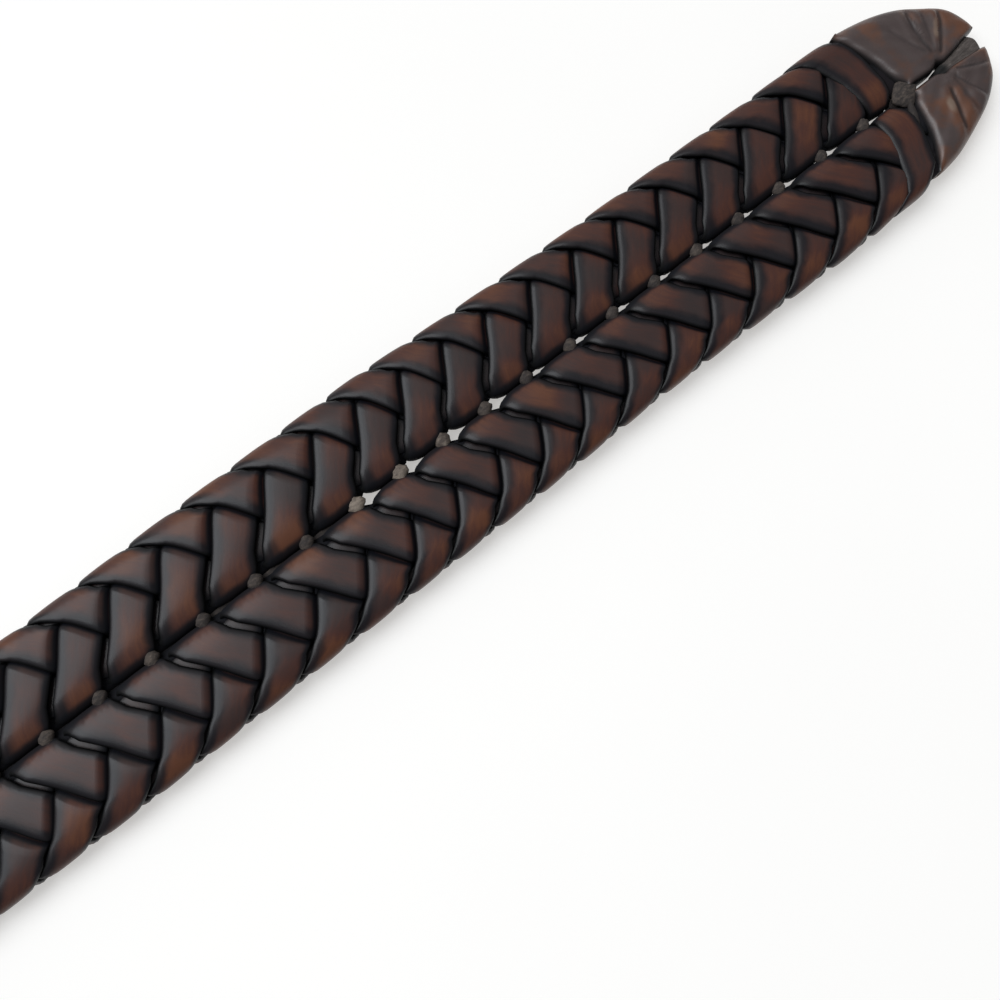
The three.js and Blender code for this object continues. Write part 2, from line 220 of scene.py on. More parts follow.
def loop_at(column, lift):
    """Place across the tube and height of a point that stands out from the middle of its wall by lift."""
    column = np.mod(column, COLUMNS)
    s = np.mod(hermite(np.arange(COLUMNS + 1), COLUMN_PLACES, COLUMN_SLOPES, column), turn)
    under = s > turn / 2
    s = np.where(under, turn - s, s)
    inner = s < quarter
    outer = s > quarter + straight
    angle = np.where(inner, math.pi - s / SIDE_RADIUS, math.pi / 2)
    angle = np.where(outer, math.pi / 2 - (s - quarter - straight) / SIDE_RADIUS, angle)
    centre = np.clip(flat_start + s - quarter, flat_start, flat_start + straight)
    out_y = np.sign(np.cos(angle)) * np.abs(np.cos(angle)) ** SQUARENESS
    out_z = np.abs(np.sin(angle)) ** SQUARENESS * np.where(under, -1.0, 1.0)
    return centre + (SIDE_RADIUS + lift) * out_y, (SIDE_RADIUS + lift) * out_z


# Last strap of each tube: its rear and front edges across the face, as place across and place along
BAND_REAR = {
    1: ((0.0, -8.6), (2, -8.7), (5, -8.9), (8, -9.4), (11, -10.3), (14, -11.4), (16, -12.9), (17.6, -16.0)),
    -1: ((0.0, -8.9), (2.5, -9.2), (5, -9.3), (8, -10.1), (11, -11.3), (13.5, -12.3), (16, -13.8),
         (17.6, -17.4)),
}
BAND_FRONT = {
    1: ((0.0, -4.0), (1.5, -3.0), (2.5, -2.3), (4.5, -1.9), (7, -2.0), (10, -2.1),
        (13, -2.4), (15.5, -3.4), (17.6, -5.6)),
    -1: ((0.0, -4.2), (1.5, -3.3), (3, -2.4), (5, -2.2), (8, -2.7), (11, -3.9),
         (14.5, -5.3), (16.4, -7.8), (17.6, -9.2)),
}


def edge_at(edge, across):
    """Place along of an edge, at a place across."""
    across_places, along_places = zip(*edge)
    return np.interp(across, across_places, along_places)


# How much further out the outer side of each tube lies along the hand-made braid: place along, and how far
OUTER_LEAN = {
    1: ((-230, 0.0), (-180, 0.1), (-150, 0.9), (-115, 1.15), (-98, 0.4), (-83, 0.0), (-65, -0.4), (0, -0.3)),
    -1: ((-230, 0.0), (-186, 0.7), (-155, 0.4), (-103, 0.05), (-75, -0.6), (-52, -0.5), (-31, 0.0),
         (-22, -0.15), (-15, -0.75), (0, -0.75)),
}


def place_points(side, x, across, height, sunk=True):
    """Points of a tube in the belt: the tubes' gap, the sunk end under the last strap, the flattened neck."""
    places, leans = zip(*OUTER_LEAN[side])
    outwards = across / TUBE_REACH
    across = across + gap_at(x) * (1 - outwards) + np.interp(x, places, leans) * outwards
    under_band = smooth((x - edge_at(BAND_REAR[side], across) + SUNK_START) / SUNK_RUN) * sunk
    crown = 1 - CROWN * np.abs((across - TUBE_CENTRE) / TUBE_HALF) ** 4
    neck = smooth((NECK_START + NECK_LEAD - x) / NECK_RUN)
    height = height * crown * (1 - SUNK_HEIGHT * under_band) * (1 - NECK_HEIGHT * neck) + NECK_LIFT * neck
    across = TUBE_CENTRE + (across - TUBE_CENTRE) * (1 - SUNK_WIDTH * under_band)
    across = across * (1 - NECK_WIDTH * neck)
    return np.stack([(LAST_CROSSING + x), side * across, MIDDLE + height], -1) * MM


def add_mesh(name, points, faces, attributes=()):
    """A smooth mesh object from points, faces and values at the points."""
    mesh = bpy.data.meshes.new(name)
    faces = faces.tolist() if isinstance(faces, np.ndarray) else faces
    mesh.from_pydata(np.asarray(points, float).reshape(-1, 3).tolist(), [], faces)
    for key, values in dict(attributes).items():
        values = np.asarray(values, np.float32)
        kind = "FLOAT_VECTOR" if values.ndim > 1 and values.shape[-1] == 3 else "FLOAT"
        layer = mesh.attributes.new(key, kind, "POINT")
        layer.data.foreach_set("vector" if kind == "FLOAT_VECTOR" else "value", values.reshape(-1))
    mesh.update()
    mesh.polygons.foreach_set("use_smooth", np.ones(len(mesh.polygons), bool))
    piece = bpy.data.objects.new(name, mesh)
    bpy.context.scene.collection.objects.link(piece)
    return piece


def ribbon_faces(stations, ring):
    """Faces of a closed ribbon: rings of points one after another, with a face at each end."""
    a = np.arange(stations - 1)[:, None] * ring + np.arange(ring)[None, :]
    b = np.arange(stations - 1)[:, None] * ring + (np.arange(ring)[None, :] + 1) % ring
    quads = np.stack([a, b, b + ring, a + ring], -1).reshape(-1, 4).tolist()
    first = list(range(ring))
    return quads + [first[::-1], [v + (stations - 1) * ring for v in first]]


def wrap_at(across):
    """How far a place across a tube lies round its sides: 0 on the face, 1 at a side."""
    return smooth((np.abs(across - TUBE_CENTRE) / TUBE_HALF - 0.30) / 0.6)


# Section of a strap: place across it and height, from edge to edge over the top and back underneath
SECTION = np.array((
    (-1.0, 0.02), (-0.97, 0.30), (-0.88, 0.52), (-0.71, 0.66), (-0.48, 0.72), (-0.24, 0.75), (0.0, 0.76),
    (0.24, 0.75), (0.48, 0.72), (0.71, 0.66), (0.88, 0.52), (0.97, 0.30), (1.0, 0.02),
    (0.85, -0.55), (-0.85, -0.55),
))
RISING_WIDTH = 9.0
FALLING_WIDTH = 9.6
BAND_STATIONS = 144
BAND_SWELL = 0.25


def band_mesh(name, side):
    """The last strap of a tube, wrapped round it just behind the tip cap."""
    section = SECTION[:, 0]
    ring = len(section)
    columns = np.arange(BAND_STATIONS)[:, None] * COLUMNS / BAND_STATIONS
    column = np.broadcast_to(columns, (BAND_STATIONS, ring))
    outward = smooth(1 - np.abs(column - COLUMNS / 2) / 1.6)
    across, height = loop_at(column, LIFT + SECTION[None, :, 1] + BAND_SWELL * outward)
    rear = edge_at(BAND_REAR[side], across)
    front = edge_at(BAND_FRONT[side], across)
    x = rear + (front - rear) * (section[None, :] + 1) / 2
    points = place_points(side, x, across, height, sunk=False)
    number = np.arange(BAND_STATIONS * ring).reshape(BAND_STATIONS, ring)
    beside = np.roll(number, -1, 1)
    faces = np.stack([number, beside, np.roll(beside, -1, 0), np.roll(number, -1, 0)], -1).reshape(-1, 4)
    if side < 0:
        faces = faces[:, ::-1]
    across_strap = np.broadcast_to(section, column.shape)
    attributes = {
        "lay": np.stack([
            column * 6.0, across_strap * LAY_ACROSS, np.full(column.shape, 300.0 + side * 40),
        ], -1),
        "cover": np.ones(column.shape),
        "across": across_strap,
        # Painted shade: the band's inner side is marked for the finish to darken.
        "inner": 1 - smooth((across - 0.2) / 1.2),
        "wrap": wrap_at(across),
    }
    return add_mesh(name, points, faces, attributes)


# Outline of each lobe of the tip: its rear edge beside the last strap, the middle with the eye, and the rim
CAP_REAR = {
    1: ((-4.8, 16.6), (-4.1, 15.7), (-3.1, 13.7), (-2.1, 10.8), (-1.2, 8.0), (-0.7, 5.0), (-0.2, 3.0),
        (0.9, 1.4)),
    -1: ((-5.6, 15.6), (-5.1, 14.8), (-3.9, 12.6), (-2.4, 10.0), (-1.4, 7.1), (-0.8, 4.6), (-0.1, 2.6),
         (1.0, 1.4)),
}
CAP_MIDDLE = {
    1: ((2.2, 0.36), (4.6, 0.26), (7.0, 0.24), (8.5, 0.52), (9.3, 1.0), (10.2, 0.65), (11.2, 0.45),
        (14.0, 0.95), (17.5, 1.75), (20.2, 2.2)),
    -1: ((2.2, 0.42), (4.6, 0.34), (7.0, 0.34), (8.5, 0.72), (9.3, 1.2), (10.2, 1.0), (11.2, 0.95),
         (14.0, 1.1), (17.5, 1.35), (19.6, 1.5)),
}
CAP_RIM = {
    1: ((21.0, 3.0), (20.8, 4.6), (20.2, 6.6), (19.4, 8.3), (18.3, 9.6), (16.9, 10.7), (14.6, 12.2),
        (11.6, 14.1), (8.5, 15.4), (5.0, 16.4), (1.2, 17.1), (-2.0, 17.5)),
    -1: ((20.1, 2.2), (19.6, 3.4), (18.7, 5.1), (17.2, 7.3), (14.7, 9.4), (12.1, 11.0), (9.4, 12.2),
         (5.5, 13.7), (1.4, 15.1), (-1.6, 15.7), (-4.2, 16.0)),
}
CAP_CENTRE = {1: (7.4, 7.6), -1: (7.0, 6.4)}
CAP_SPOKES, CAP_RINGS = 190, 34
CAP_HEIGHT, CAP_TAPER = 2.95, 0.045
RIM_ROLL, REAR_ROLL, MIDDLE_ROLL = 3.4, 1.8, 1.1
EYE_X, EYE_RADIUS = 9.3, 1.7
EYE_DEPTH_ABOVE, EYE_DEPTH_BELOW = 0.42, 0.3
WRINKLE = 0.07
UNDERSIDE = 0.06

# Pleats that run out from the eye: their course, depth, width, how far their crest is rubbed, and where
CAP_PLEATS = {
    1: (
        (((5.6, 12.2), (6.2, 9.5), (7.4, 6.2), (8.6, 3.4)), 0.26, 0.80, 0.0, 0.5),
        (((11.6, 13.4), (10.4, 10.4), (9.6, 6.6), (9.4, 2.6)), 0.36, 0.70, 0.8, 0.12),
        (((13.8, 11.4), (12.6, 8.4), (10.8, 4.6), (9.8, 2.4)), 0.24, 0.65, 0.0, 0.5),
        (((17.2, 10.2), (15.4, 7.0), (12.8, 4.0), (10.6, 1.9)), 0.42, 0.60, 1.0, 0.45),
    ),
    -1: (
        (((3.8, 13.2), (5.0, 10.2), (6.2, 7.2), (7.4, 4.0)), 0.44, 0.75, 1.0, 0.62),
        (((9.0, 11.6), (9.0, 8.6), (9.1, 5.4), (9.2, 2.8)), 0.28, 0.80, 0.0, 0.5),
        (((13.0, 9.8), (11.6, 7.4), (10.4, 4.8), (9.8, 2.6)), 0.32, 0.65, 0.3, 0.3),
        (((18.6, 4.6), (15.6, 4.0), (12.8, 2.9), (10.9, 1.8)), 0.38, 0.55, 0.2, 0.3),
    ),
}


def distance_to(points, line):
    """Distance from each point to a line of points, and the share of the line's length there."""
    line = np.asarray(line, float)
    best = np.full(len(points), 1e9)
    share = np.zeros(len(points))
    for i in range(len(line) - 1):
        a, step = line[i], line[i + 1] - line[i]
        t = np.clip(((points - a) @ step) / (step @ step), 0, 1)
        far = np.hypot(*(points - a - t[:, None] * step).T)
        nearer = far < best
        best = np.where(nearer, far, best)
        share = np.where(nearer, (i + t) / (len(line) - 1), share)
    return best, share


def side_of(points, line):
    """+1 on one side of the line from its first to its last point, -1 on the other."""
    line = np.asarray(line, float)
    run = line[-1] - line[0]
    away = points - line[0]
    return np.sign(run[0] * away[:, 1] - run[1] * away[:, 0])


def rolled(distance, radius):
    """Height of a rolled edge, from 0 at the edge to 1 from radius inwards."""
    u = np.clip(distance / radius, 0, 1)
    return (1 - (1 - u) ** 2.3) ** (1 / 2.3)


def cushion_faces(upper, lower, top, bottom, mirrored=False):
    """Faces of a cushion: rings of points above and below, each closed by a hub, that share the rim."""
    lower = lower.copy()
    lower[-1] = upper[-1]
    faces = []
    for grid, hub, turned in ((upper, top, mirrored), (lower, bottom, not mirrored)):
        beside = np.roll(grid, -1, 1)
        quads = np.stack([grid[:-1], grid[1:], beside[1:], beside[:-1]], -1).reshape(-1, 4)
        fan = np.stack([np.full(grid.shape[1], hub), grid[0], beside[0]], -1)
        faces += (quads[:, ::-1] if turned else quads).tolist() + (fan[:, ::-1] if turned else fan).tolist()
    return faces


def cap_mesh(name, side):
    """One padded lobe of the tip, gathered in pleats round the eye."""
    spokes, rings = CAP_SPOKES, CAP_RINGS
    t = np.linspace(0, 1, 60)
    rear, middle, rim = (curve_through(line[side], t) for line in (CAP_REAR, CAP_MIDDLE, CAP_RIM))
    outline = np.concatenate([rear, middle, rim])
    outline = np.concatenate([outline, outline[:1]])
    run = np.concatenate([[0], np.cumsum(np.hypot(*np.diff(outline, axis=0).T))])
    at = np.linspace(0, run[-1], spokes + 1)[:-1]
    edge = np.stack([np.interp(at, run, outline[:, 0]), np.interp(at, run, outline[:, 1])], -1)
    centre = np.array(CAP_CENTRE[side])
    share = 1 - (1 - np.linspace(0, 1, rings + 1)[1:]) ** 1.6
    flat = np.concatenate([[centre], (centre + share[:, None, None] * (edge - centre)).reshape(-1, 2)])
    to_rear, _ = distance_to(flat, rear)
    to_middle, _ = distance_to(flat, middle)
    to_rim, _ = distance_to(flat, rim)
    full = CAP_HEIGHT - CAP_TAPER * np.clip(flat[:, 0], 0, 25)
    dome = rolled(to_rim, RIM_ROLL) * rolled(to_rear, REAR_ROLL) * rolled(to_middle, MIDDLE_ROLL)
    crease = np.zeros(len(flat))
    rub = np.zeros(len(flat))
    fold = np.zeros(len(flat))
    for line, depth, width, rubbed, rub_place in CAP_PLEATS[side]:
        course = curve_through(line, np.linspace(0, 1, 24))
        far, along = distance_to(flat, course)
        signed = far * side_of(flat, course)
        fade = smooth((1 - along) * 6 + 0.4) * smooth(along * 5 + 0.3)
        valley = np.exp(-((signed / width) ** 2)) * fade
        ridge = np.exp(-(((signed + 1.7 * width) / (1.4 * width)) ** 2)) * fade
        fold += 0.55 * depth * ridge - 0.6 * depth * valley
        # Painted shade in the pleat's valley, darker for deeper pleats.
        crease = np.maximum(crease, valley * min(1, 0.25 + depth))
        rub = np.maximum(rub, ridge * rubbed * np.exp(-(((along - rub_place) / 0.22) ** 2)))
    eye = np.exp(-((np.hypot(flat[:, 0] - EYE_X, flat[:, 1]) / EYE_RADIUS) ** 2))
    wrinkle = WRINKLE * np.sin(flat[:, 0] * 1.3 + flat[:, 1] * 0.9) * np.sin(flat[:, 1] * 1.1 + side)
    relief = (fold + wrinkle) * np.minimum(dome, 1) * smooth(to_rim / 0.9)
    top = np.maximum(full * dome * (1 - EYE_DEPTH_ABOVE * eye) + relief, 0)
    bottom = -full * dome * (1 - EYE_DEPTH_BELOW * eye) + fold * 0.5 * dome
    bottom = np.maximum(np.minimum(bottom, 0), UNDERSIDE - MIDDLE)
    count = len(flat)
    x, y = LAST_CROSSING + flat[:, 0], side * flat[:, 1]
    points = np.concatenate([
        np.stack([x, y, MIDDLE + top], -1), np.stack([x, y, MIDDLE + bottom], -1)[: count - spokes],
    ]) * MM
    number = 1 + np.arange(rings * spokes).reshape(rings, spokes)
    faces = cushion_faces(number, number + count, 0, count, side < 0)
    # Painted shade along the crevices at the rear edge beside the last strap and at the middle slot.
    crevice_shade = np.maximum(np.exp(-((to_rear / 0.8) ** 2)), np.exp(-((to_middle / 0.5) ** 2)))
    worn = {"crease": np.maximum(crease, crevice_shade), "rub": rub, "near_rim": 1 - np.clip(to_rim / 5, 0, 1)}
    attributes = {key: np.concatenate([values, values[: count - spokes]]) for key, values in worn.items()}
    return add_mesh(name, points, faces, attributes)


# Cushion of lace or thread: its points, and the power that rounds its outline
LOZENGE_SPOKES, LOZENGE_RINGS = 22, 4
LOZENGE_SQUARENESS = 1.3


def lozenge(x, y, z, half_length, half_width, thickness, seed, rough, skew=0.0):
    """Points and faces of one small cushion, round about the shape of a lozenge."""
    draws = np.random.default_rng(seed)
    spokes, rings = LOZENGE_SPOKES, LOZENGE_RINGS
    power = LOZENGE_SQUARENESS
    angle = np.arange(spokes) * 2 * math.pi / spokes
    reach = (np.abs(np.cos(angle)) ** power + np.abs(np.sin(angle)) ** power) ** (-1 / power)
    reach = reach * (1 + rough * draws.uniform(-1, 1, spokes))
    share = np.sin(np.linspace(0, 1, rings + 1)[1:] * math.pi / 2)
    px = share[:, None] * reach * np.cos(angle) * half_length
    py = share[:, None] * reach * np.sin(angle) * half_width
    dome = np.sqrt(np.maximum(0, 1 - share**2))[:, None] * np.ones(spokes)
    lumps = draws.uniform(-1, 1, dome.shape) * rough * 0.6 * dome
    points = [(x, y, z + thickness / 2), (x, y, z - thickness / 2)]
    top = np.stack([x + px + skew * py, y + py, z + thickness / 2 * (dome + lumps)], -1).reshape(-1, 3)
    low = np.stack([x + px + skew * py, y + py, z - thickness / 2 * dome], -1).reshape(-1, 3)[: -spokes]
    number = 2 + np.arange(rings * spokes).reshape(rings, spokes)
    return np.concatenate([points, top, low]), cushion_faces(number, number + rings * spokes, 0, 1)


# Lace: how worn its crossings are in the rows where it is rubbed, and the painted shade of its other parts:
# the lace that lies below them, and the tail.
WORN_CROSSINGS = {10: 0.3, 11: 0.5, 12: 0.9, 13: 1.0}
LOW_LACE_SHADE = -0.15
LOW_LACE_Z = 2.9


def lace_mesh(name):
    """The lace's crossings between the tubes, one at each row, and the larger last one with its tail."""
    points, faces, lace_wear_and_shade = [], [], []
    total = 0
    # A part is its place along, across and up, half length, half width, thickness, seed, roughness and skew
    for row in range(row_count):
        x = row_places[row] - 0.2
        worn = WORN_CROSSINGS.get(row, 0.12 + 0.1 * math.sin(row * 2.7))
        if row == 0:
            parts = [(x, 0.0, 4.75, 3.1, 2.9, 1.6, row, 0.02, 0.15)]
            parts.append((x - 1.7, -4.6, 4.8, 0.95, 4.8, 1.2, 500, 0.02, 0.46))
            parts.append((x - 1.9, 0.0, LOW_LACE_Z, 1.9, 2.6, 1.2, 700, 0.04))
        else:
            parts = [(x, 0.0, 4.5, 1.45 + 0.25 * worn, 1.7 + 0.1 * worn, 1.8, row, 0.05 + 0.07 * worn, 0.15)]
        if row >= CLOSED_FROM:
            pitch = row_places[row] - row_places[row + 1]
            parts.append((x + 0.24 * pitch, 0.0, LOW_LACE_Z, 0.50 * pitch, 3.0, 1.2, 700 + row, 0.04))
        for part in parts:
            new_points, new_faces = lozenge(*part)
            points.append(new_points)
            faces += [[v + total for v in face] for face in new_faces]
            # Painted shade: the parts other than the crossing get the low lace's darker value.
            lace_wear_and_shade.append(np.full(len(new_points), worn if part is parts[0] else LOW_LACE_SHADE))
            total += len(new_points)
    points = np.concatenate(points)
    points[:, 0] += LAST_CROSSING
    return add_mesh(name, points * MM, faces, {"worn": np.concatenate(lace_wear_and_shade)})


# Inner layer: where it starts along and how long it is, and how far its end is rounded
INNER_START, INNER_LENGTH = 8.2, 11.0
INNER_ROUND_END = 0.5


def inner_layer_mesh(name):
    """The folded grey inner leather that shows in the slot between the lobes, from the eye to the rim."""
    along, across_count = 40, 17
    t = np.linspace(0, 1, along)
    upper = 0.25 + 1.85 * t
    lower = -1.7 - 0.5 * t
    share = np.linspace(0, 1, across_count)
    y = lower[:, None] + (upper - lower)[:, None] * share[None, :]
    rounding = INNER_ROUND_END * (2 * share[None, :] - 1) ** 2 * t[:, None]
    x = (INNER_START + INNER_LENGTH * t)[:, None] - rounding
    ridges = 0.10 * np.sin(share * 11)[None, :] + 0.05 * np.sin(x * 2.1 + y * 3)
    end = rolled((1 - t) * 9.2, 0.5)[:, None]
    arch = np.sin(math.pi * share)[None, :] ** 0.7
    top = MIDDLE + (0.75 + 0.75 * arch + ridges) * end
    bottom = MIDDLE - (1.2 + 0.8 * arch) * end
    points = np.concatenate([np.stack([x, y, z], -1).reshape(-1, 3) for z in (top, bottom)])
    points[:, 0] += LAST_CROSSING
    number = np.arange(along * across_count).reshape(along, across_count)
    drop = along * across_count
    quads = np.stack([number[:-1, :-1], number[1:, :-1], number[1:, 1:], number[:-1, 1:]], -1).reshape(-1, 4)
    faces = quads.tolist() + (quads[:, ::-1] + drop).tolist()
    ring = np.concatenate([number[:, 0], number[-1, 1:], number[-2::-1, -1], number[0, -2:0:-1]])
    after = np.roll(ring, -1)
    faces += np.stack([ring, ring + drop, after + drop, after], -1).tolist()
    # Painted shade: darkening that grows towards the eye, where the slot is deep.
    from_eye = np.broadcast_to(np.exp(-((t / 0.26) ** 2))[:, None], y.shape).reshape(-1)
    return add_mesh(name, points * MM, faces, {"crease": np.concatenate([from_eye, from_eye])})


def strap_mesh(name, side, rising, number):
    """One strap of a tube, from under its last strap to the neck, over and under the straps it crosses."""
    turn_sign = 1 if rising else -1
    start = number + (RISING_START if rising else FALLING_START)
    lean = turn_sign / 2
    ends = sorted((x_to_row(end) - start) / lean for end in (NECK_END, STRAP_END))
    whole = np.arange(math.floor(ends[0]), math.ceil(ends[1]))
    stations = list(OVER_STATIONS)
    hidden = 2 if rising else 0
    stations[hidden] = UNDER_STATIONS[hidden]
    columns = np.concatenate([c + np.array(stations[c % COLUMNS]) for c in whole])
    columns = columns[(columns >= ends[0]) & (columns <= ends[1])][::turn_sign]
    # The straps that it crosses are numbered by q: at a whole q their middles cross. A station lies along
    # the crossed strap at a dive, and straight round the tube at its two sides
    q = turn_sign * columns + (number - 1 if rising else number + 1)
    from_side = np.abs(np.mod(columns + 1.5, 3) - 1.5)
    skew = np.clip(from_side / 0.6, 0, 1)[:, None]
    side_bump = smooth(1 - np.abs(np.mod(columns, COLUMNS) - 3) / 1.4)
    width = (RISING_WIDTH if rising else FALLING_WIDTH) * (1 + 0.02 * side_bump)
    sway = 0.012 * np.sin(q * 0.9 + number * 2.1 + (0 if rising else 1.3) + side)
    across_strap = SECTION[None, :, 0]
    offset = across_strap * width[:, None] / (2 * PLAIN_ROWS[1])
    column = columns[:, None] - turn_sign * skew * offset
    row = (start + lean * columns + sway)[:, None] + (1 - 0.5 * skew) * offset
    place = q[:, None] + (1 - skew) * offset
    low = np.floor(place)

    def over(crossed):
        """+1 where this strap lies over the crossed one, -1 where it lies under it."""
        at = crossed - number + 1 if rising else number - crossed + 1
        sign = np.array(RISING_OVER)[np.mod(at, COLUMNS).astype(int)]
        return sign * turn_sign

    share = smooth((place - low - 0.5) / EASE + 0.5)
    cover = over(low) * (1 - share) + over(low + 1) * share
    across, height = loop_at(column, LIFT * cover + SECTION[None, :, 1])
    x = row_to_x(row)
    last = edge_at([(far, along) for along, far in CAP_REAR[side][::-1]], across) + 0.8
    points = place_points(side, np.minimum(x, last), across, height)
    # Painted shade: this marks the strap's turn in at the tube's inner side and its run under the last strap,
    # which the finish darkens.
    inner = 1 - smooth((across - 0.5) / 2.0)
    inner = np.maximum(inner, smooth((x - edge_at(BAND_REAR[side], across) - 1.5) / 2))
    lay = np.stack([
        np.broadcast_to(q[:, None] * LAY_PITCH, row.shape),
        np.broadcast_to(across_strap * LAY_ACROSS, row.shape),
        np.full(row.shape, number * 17.0 + (0 if rising else 61) + side * 130),
    ], -1)
    attributes = {
        "lay": lay,
        "cover": cover,
        "across": np.broadcast_to(across_strap, row.shape),
        "inner": inner,
        "wrap": wrap_at(across),
    }
    faces = ribbon_faces(len(q), len(SECTION))
    turned = (side > 0) != rising
    return add_mesh(name, points, [face[::-1] for face in faces] if turned else faces, attributes)


# Middle of a tube, in painted shade: points round it, step in rows, how far it lies inside the straps, its
# end, and the width of the nose with which it edges the openings
CORE_POINTS = 24
CORE_STEP = 0.17
CORE_DEPTH = 0.62
CORE_END = -2.0
CORE_NOSE = 0.5


def core_mesh(name, side):
    """The middle of a tube, painted all in shade, which shows between the straps and edges the opening in
    each row.
    """
    rows = np.arange(x_to_row(NECK_END + 1), x_to_row(CORE_END), CORE_STEP)
    column = np.broadcast_to(np.linspace(0, COLUMNS, CORE_POINTS + 1)[:-1], (len(rows), CORE_POINTS))
    across, height = loop_at(column, -CORE_DEPTH)
    x = np.broadcast_to(row_to_x(rows)[:, None], column.shape)
    points = place_points(side, x, across, height)
    from_inner_side = np.minimum(column, COLUMNS - column)
    nose = smooth((CORE_NOSE - from_inner_side) / CORE_NOSE) * (x > NECK_START)
    points[..., 1] += (side * slit_at(x) * MM - points[..., 1]) * nose
    none = np.zeros(column.shape)
    lay = np.stack([rows[:, None] * 10 + none, column, none + 900], -1)
    # Painted shade: marked as under other straps and at the inner side all over, so the strap finish paints
    # it in deep shade.
    attributes = {"lay": lay, "cover": none - 1, "across": none, "inner": none + 1, "wrap": none}
    faces = ribbon_faces(len(rows), CORE_POINTS)
    return add_mesh(name, points, faces if side < 0 else [face[::-1] for face in faces], attributes)


# Chape: the leather fold round the buckle's bar, in the frame of the belt
MOUTH_X = -434.2
SLOPE_X = -460.4
SLOT_X = -460.3
SLOT_HALF = 4.0
BAR_X, BAR_Z = -469.0, 4.293
WALL_HALF = 0.9
FOLD_RADIUS = BAR_Z - WALL_HALF
TOP_WALL_Z = 6.3
CHAPE_HALF = 17.0
MOUTH_CORNER = 6.0
# Its rise to the bar, its rolled edges, the groove along them, and its stitches
RISE_RUN = 8.6
EDGE_ROLL = 0.8
GROOVE_PLACE, GROOVE_DEPTH, GROOVE_WIDTH = 1.6, 0.16, 0.25
STITCH_PITCH = 2.9
STITCH_LINE = 14.0
MOUTH_LINE = 3.4


def chape_mesh(name):
    """The fold of leather that holds the bar and the neck of the braid, with a slot for the prong."""
    near = MOUTH_X - np.array([0.0, 0.15, 0.4, 0.8, 1.4, 2.2, 3.2, 4.4, 6.0, 9.0, 13.0, 18.0, 23.0])
    upper_x = np.concatenate([near, np.linspace(SLOPE_X + 1, BAR_X, 14)])
    angle = np.linspace(math.pi / 2, 3 * math.pi / 2, 25)[1:-1]
    path_x = np.concatenate([upper_x, BAR_X + FOLD_RADIUS * np.cos(angle), upper_x[::-1]])
    climb = smooth((SLOPE_X - upper_x) / RISE_RUN)
    top = TOP_WALL_Z + (BAR_Z + FOLD_RADIUS - TOP_WALL_Z) * climb
    path_z = np.concatenate([top, BAR_Z + FOLD_RADIUS * np.sin(angle), np.full(len(upper_x), WALL_HALF)])
    cut = np.searchsorted(-path_x[: len(upper_x)], -SLOT_X)
    path_x[cut] = path_x[len(path_x) - 1 - cut] = SLOT_X
    step_x, step_z = np.gradient(path_x), np.gradient(path_z)
    long = np.hypot(step_x, step_z)
    out_x, out_z = step_z / long, -step_x / long
    run = np.concatenate([[0], np.cumsum(np.hypot(np.diff(path_x), np.diff(path_z)))])
    from_mouth = np.minimum(run, run[-1] - run)
    into_corner = np.clip(MOUTH_CORNER - from_mouth, 0, MOUTH_CORNER)
    half = CHAPE_HALF - MOUTH_CORNER + np.sqrt(MOUTH_CORNER**2 - into_corner**2)
    edge = np.array([0, 0.15, 0.4, 0.8, 1.3, 2.2, 4.5, 8.0]) / CHAPE_HALF
    slot = SLOT_HALF / CHAPE_HALF
    by_slot = [-slot - 0.06, -slot - 0.02, -slot, 0, slot, slot + 0.02, slot + 0.06]
    share = np.concatenate([-1 + edge, by_slot, (1 - edge)[::-1]])
    y = half[:, None] * share[None, :]
    in_slot = (path_x < SLOT_X + 0.01)[:, None]
    to_edge = np.minimum(half[:, None] - np.abs(y), from_mouth[:, None] + 0.001)
    to_slot = np.hypot(np.maximum(0, np.abs(y) - SLOT_HALF), np.maximum(0, path_x - SLOT_X)[:, None])
    distance = np.minimum(to_edge, to_slot)
    thick = WALL_HALF * np.maximum(rolled(distance, EDGE_ROLL), 0.3)
    groove = GROOVE_DEPTH * np.exp(-(((distance - GROOVE_PLACE) / GROOVE_WIDTH) ** 2))
    outer, inside = (
        np.stack([path_x[:, None] + out_x[:, None] * away, y, path_z[:, None] + out_z[:, None] * away], -1)
        for away in (thick - groove, -thick)
    )
    stations, ring = y.shape
    kept = ~(in_slot[:-1] & in_slot[1:] & (np.abs(share[:-1] + share[1:])[None, :] / 2 < slot))
    number = np.arange(stations * ring).reshape(stations, ring)
    count = stations * ring
    faces = []
    for i, j in zip(*np.nonzero(kept)):
        corners = (number[i, j], number[i, j + 1], number[i + 1, j + 1], number[i + 1, j])
        faces += [corners, tuple(v + count for v in corners[::-1])]
        beside = ((i - 1, j), (i, j + 1), (i + 1, j), (i, j - 1))
        for k, (row, column) in enumerate(beside):
            if 0 <= row < stations - 1 and 0 <= column < ring - 1 and kept[row, column]:
                continue
            a, b = corners[k], corners[(k + 1) % 4]
            faces.append((b, a, a + count, b + count))
    used, renumbered = np.unique(np.array(faces), return_inverse=True)
    points = np.concatenate([outer.reshape(-1, 3), inside.reshape(-1, 3)])[used]
    worn_edge = np.exp(-((np.concatenate([distance.reshape(-1)] * 2)[used] / 0.9) ** 2))
    return add_mesh(name, points * MM, renumbered.reshape(-1, 4), {"crease": worn_edge})


